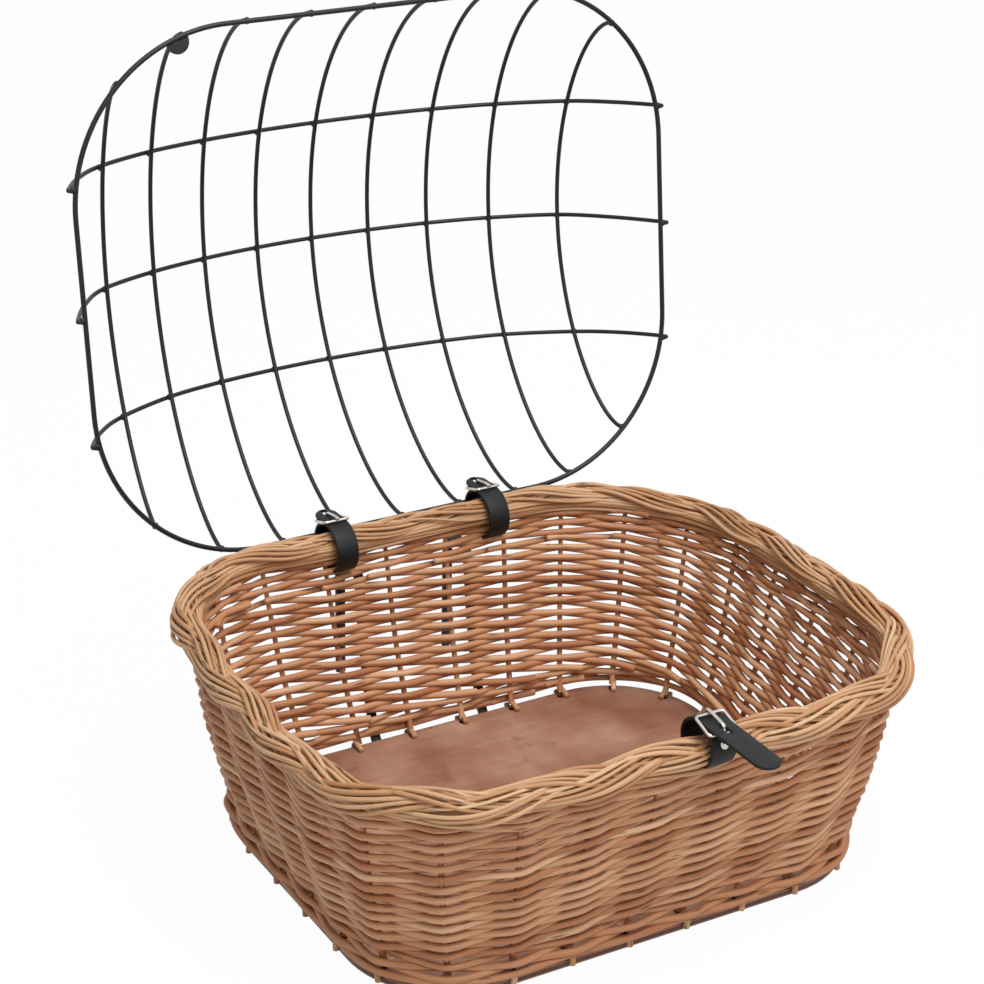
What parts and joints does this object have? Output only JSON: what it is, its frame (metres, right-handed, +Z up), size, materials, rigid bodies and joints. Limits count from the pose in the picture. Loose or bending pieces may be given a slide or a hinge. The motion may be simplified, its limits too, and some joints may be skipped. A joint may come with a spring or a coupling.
{
  "type": "bicycle basket",
  "caption": "Rounded willow bicycle basket on a plywood base, with a plaited border, a hinged domed wire lid, leather buckle straps and steel hooks behind the back wall.",
  "frame": {"origin": "centre of the base board's underside", "axes": "+Z up, +X along the long side (right when seen from the front), the front with the buckle faces -Y, the lid hinges at +Y"},
  "size_m": [0.5216, 0.6675, 0.5859],
  "materials": {
    "plywood": "brown-stained plywood, matt",
    "border_willow": "buff willow, plaited",
    "willow": "buff willow rods, satin",
    "black_wire": "black powder coat on steel wire",
    "black_rubber": "matt black",
    "black_leather": "black coated leather",
    "nickel": "nickel plated wire",
    "hook_steel": "black painted flat steel",
    "screw_steel": "zinc plated"
  },
  "bodies": {
    "basket": {"base_board": "plywood", "stakes_and_border": "border_willow", "weave_row_01": "willow", "weave_row_02": "willow", "weave_row_03": "willow", "weave_row_04": "willow", "weave_row_05": "willow", "weave_row_06": "willow", "weave_row_07": "willow", "weave_row_08": "willow", "weave_row_09": "willow", "weave_row_10": "willow", "weave_row_11": "willow", "weave_row_12": "willow", "weave_row_13": "willow", "weave_row_14": "willow", "weave_row_15": "willow", "weave_row_16": "willow", "weave_row_17": "willow", "weave_row_18": "willow", "weave_row_19": "willow", "weave_row_20": "willow", "weave_row_21": "willow", "weave_row_22": "willow", "weave_row_23": "willow", "weave_row_24": "willow", "weave_row_25": "willow", "weave_row_26": "willow", "weave_row_27": "willow", "hinge_strap_left": "black_leather", "hinge_buckle_left": "nickel", "hook_left": "hook_steel", "hook_screw_left": "screw_steel", "hinge_strap_right": "black_leather", "hinge_buckle_right": "nickel", "hook_right": "hook_steel", "hook_screw_right": "screw_steel", "front_strap": "black_leather", "front_buckle": "nickel", "front_strap_rivet": "nickel"},
    "lid": {"lid_rim_wire": "black_wire", "lid_cross_wire_1": "black_wire", "lid_cross_wire_2": "black_wire", "lid_cross_wire_3": "black_wire", "lid_cross_wire_4": "black_wire", "lid_cross_wire_5": "black_wire", "lid_cross_wire_6": "black_wire", "lid_cross_wire_7": "black_wire", "lid_cross_wire_8": "black_wire", "lid_cross_wire_9": "black_wire", "lid_long_wire_1": "black_wire", "lid_long_wire_2": "black_wire", "lid_long_wire_3": "black_wire", "lid_tab": "black_rubber"},
    "front_tongue_body": {"front_tongue": "nickel"},
    "hinge_tongue_left_body": {"hinge_tongue_left": "nickel"},
    "hinge_tongue_right_body": {"hinge_tongue_right": "nickel"}
  },
  "joints": [
    {"name": "lid_hinge", "type": "hinge", "parent": "basket", "child": "lid", "pos_m": [0, 0.221, 0.177], "axis": [1, 0, 0], "range_deg": [0, 94]},
    {"name": "front_tongue_pivot", "type": "hinge", "parent": "basket", "child": "front_tongue_body", "pos_m": [0.009, -0.219, 0.19475], "axis": [1, 0, 0], "range_deg": [0, 50]},
    {"name": "hinge_tongue_left_pivot", "type": "hinge", "parent": "basket", "child": "hinge_tongue_left_body", "pos_m": [-0.069, 0.2215, 0.18915], "axis": [-1, 0, 0], "range_deg": [0, 50]},
    {"name": "hinge_tongue_right_pivot", "type": "hinge", "parent": "basket", "child": "hinge_tongue_right_body", "pos_m": [0.069, 0.2215, 0.18915], "axis": [-1, 0, 0], "range_deg": [0, 50]}
  ]
}
